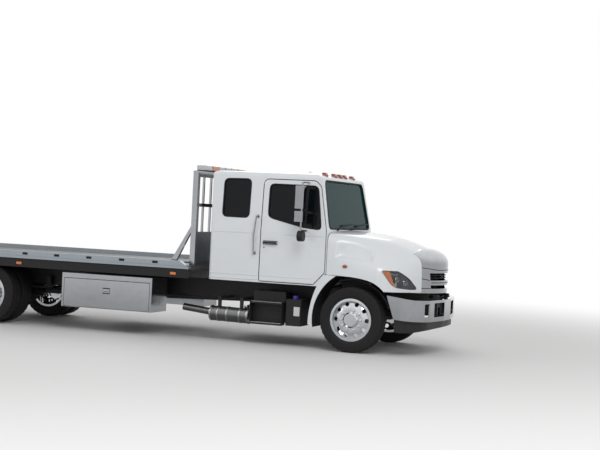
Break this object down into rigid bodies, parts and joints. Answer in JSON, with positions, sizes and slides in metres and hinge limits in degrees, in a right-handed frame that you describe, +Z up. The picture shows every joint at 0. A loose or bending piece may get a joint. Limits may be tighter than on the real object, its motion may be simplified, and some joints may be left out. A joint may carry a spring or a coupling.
{
  "type": "flatbed tow truck",
  "caption": "Flatbed tow truck with an extended cab, a tilting and sliding deck, twin rear wheels, polished toolboxes and a headboard with a lamp bar.",
  "frame": {"origin": "on the ground at the centre of the truck's bounding box", "axes": "+X towards the truck's front, +Y to its left, +Z up"},
  "size_m": [9.98, 2.805, 2.582],
  "materials": {
    "frame_steel": "satin",
    "white_paint": "gloss",
    "chrome": "polished",
    "polished_aluminium": "polished",
    "dark_plastic": "matte",
    "window_glass": "clear",
    "lamp_glass": "clear",
    "amber_lens": "gloss",
    "seat_fabric": "matte",
    "tyre_rubber": "matte",
    "engine_iron": "rough",
    "black_rubber": "matte"
  },
  "bodies": {
    "chassis": {"frame_rails": "frame_steel", "frame_crossmembers": "frame_steel", "engine_block": "engine_iron", "driveline": "engine_iron", "front_axle_beam": "frame_steel", "rear_axle_housing": "frame_steel", "leaf_springs": "frame_steel", "cab_shell": "white_paint", "cab_glass": "window_glass", "seats": "seat_fabric", "dashboard": "dark_plastic", "mudguards": "white_paint", "grab_handles": "chrome", "roof_lamps": "amber_lens", "bumper": "chrome", "bumper_valance": "dark_plastic", "exhaust": "polished_aluminium", "def_tank": "dark_plastic", "step_boxes": "dark_plastic", "fuel_tank": "polished_aluminium", "toolboxes": "polished_aluminium", "side_brackets": "frame_steel", "mudflaps": "black_rubber", "tail_lamp_bar": "frame_steel"},
    "hood": {"hood_shell": "white_paint", "grille": "chrome", "headlamps": "lamp_glass", "wheel_liners": "dark_plastic"},
    "tie_rod_body": {"tie_rod": "frame_steel"},
    "deck_subframe": {"subframe": "frame_steel"},
    "cylinder_barrels": {"tilt_barrels": "frame_steel"},
    "cylinder_rods": {"tilt_rods": "chrome"},
    "deck": {"deck_floor": "frame_steel", "side_rails": "polished_aluminium", "side_skirts": "dark_plastic", "headboard": "polished_aluminium", "light_bar": "amber_lens", "winch": "frame_steel"},
    "left_door_body": {"door_left": "white_paint", "door_glass_left": "window_glass", "mirror_left": "chrome"},
    "left_toolbox_door_body": {"toolbox_door_left": "polished_aluminium"},
    "left_knuckle_body": {"knuckle_left": "frame_steel"},
    "left_front_wheel_body": {"front_tyre_left": "tyre_rubber", "front_wheel_left": "chrome"},
    "left_rear_wheel_body": {"rear_tyres_left": "tyre_rubber", "rear_wheels_left": "chrome"},
    "right_door_body": {"door_right": "white_paint", "door_glass_right": "window_glass", "mirror_right": "chrome"},
    "right_toolbox_door_body": {"toolbox_door_right": "polished_aluminium"},
    "right_knuckle_body": {"knuckle_right": "frame_steel"},
    "right_front_wheel_body": {"front_tyre_right": "tyre_rubber", "front_wheel_right": "chrome"},
    "right_rear_wheel_body": {"rear_tyres_right": "tyre_rubber", "rear_wheels_right": "chrome"}
  },
  "joints": [
    {"name": "hood_tilt", "type": "hinge", "parent": "chassis", "child": "hood", "pos_m": [4.91, 0, 0.84], "axis": [0, 1, 0], "range_deg": [0, 65]},
    {"name": "left_door_hinge", "type": "hinge", "parent": "chassis", "child": "left_door_body", "pos_m": [3.423, 1.068, 1.4], "axis": [0, 0, -1], "range_deg": [0, 65]},
    {"name": "left_toolbox_door_hinge", "type": "hinge", "parent": "chassis", "child": "left_toolbox_door_body", "pos_m": [0.045, 1.211, 0.38], "axis": [-1, 0, 0], "range_deg": [0, 90]},
    {"name": "left_steering", "type": "hinge", "parent": "chassis", "child": "left_knuckle_body", "pos_m": [3.86, 0.83, 0.465], "axis": [0, 0, 1], "range_deg": [-35, 35]},
    {"name": "left_front_wheel_spin", "type": "hinge", "parent": "left_knuckle_body", "child": "left_front_wheel_body", "pos_m": [3.86, 0.985, 0.465], "axis": [0, 1, 0], "continuous": true},
    {"name": "left_rear_wheel_spin", "type": "hinge", "parent": "chassis", "child": "left_rear_wheel_body", "pos_m": [-2.04, 0.915, 0.465], "axis": [0, 1, 0], "continuous": true},
    {"name": "right_door_hinge", "type": "hinge", "parent": "chassis", "child": "right_door_body", "pos_m": [3.423, -1.068, 1.4], "axis": [0, 0, 1], "range_deg": [0, 65]},
    {"name": "right_toolbox_door_hinge", "type": "hinge", "parent": "chassis", "child": "right_toolbox_door_body", "pos_m": [0.045, -1.211, 0.38], "axis": [1, 0, 0], "range_deg": [0, 90]},
    {"name": "right_steering", "type": "hinge", "parent": "chassis", "child": "right_knuckle_body", "pos_m": [3.86, -0.83, 0.465], "axis": [0, 0, 1], "range_deg": [-35, 35]},
    {"name": "right_front_wheel_spin", "type": "hinge", "parent": "right_knuckle_body", "child": "right_front_wheel_body", "pos_m": [3.86, -0.985, 0.465], "axis": [0, 1, 0], "continuous": true},
    {"name": "right_rear_wheel_spin", "type": "hinge", "parent": "chassis", "child": "right_rear_wheel_body", "pos_m": [-2.04, -0.915, 0.465], "axis": [0, 1, 0], "continuous": true},
    {"name": "tie_rod_slide", "type": "slide", "parent": "chassis", "child": "tie_rod_body", "axis": [0, 1, 0], "range_m": [-0.12, 0.12]},
    {"name": "deck_tilt", "type": "hinge", "parent": "chassis", "child": "deck_subframe", "pos_m": [-3.04, 0, 0.8], "axis": [0, -1, 0], "range_deg": [0, 12]},
    {"name": "deck_slide", "type": "slide", "parent": "deck_subframe", "child": "deck", "axis": [-1, 0, 0], "range_m": [0, 2.9]},
    {"name": "barrel_turn", "type": "hinge", "parent": "chassis", "child": "cylinder_barrels", "pos_m": [-1.59, 0, 0.64], "axis": [0, -1, 0], "range_deg": [0, 24.1]},
    {"name": "rod_slide", "type": "slide", "parent": "cylinder_barrels", "child": "cylinder_rods", "axis": [0.967, 0, 0.2549], "range_m": [0, 0.168]}
  ],
  "couplings": [
    {"joint": "right_steering", "follows": "left_steering", "ratio": 1},
    {"joint": "tie_rod_slide", "follows": "left_steering", "m_per_rad": -0.1784},
    {"joint": "barrel_turn", "follows": "deck_tilt", "ratio": 2.001},
    {"joint": "rod_slide", "follows": "deck_tilt", "m_per_rad": 0.7988}
  ]
}
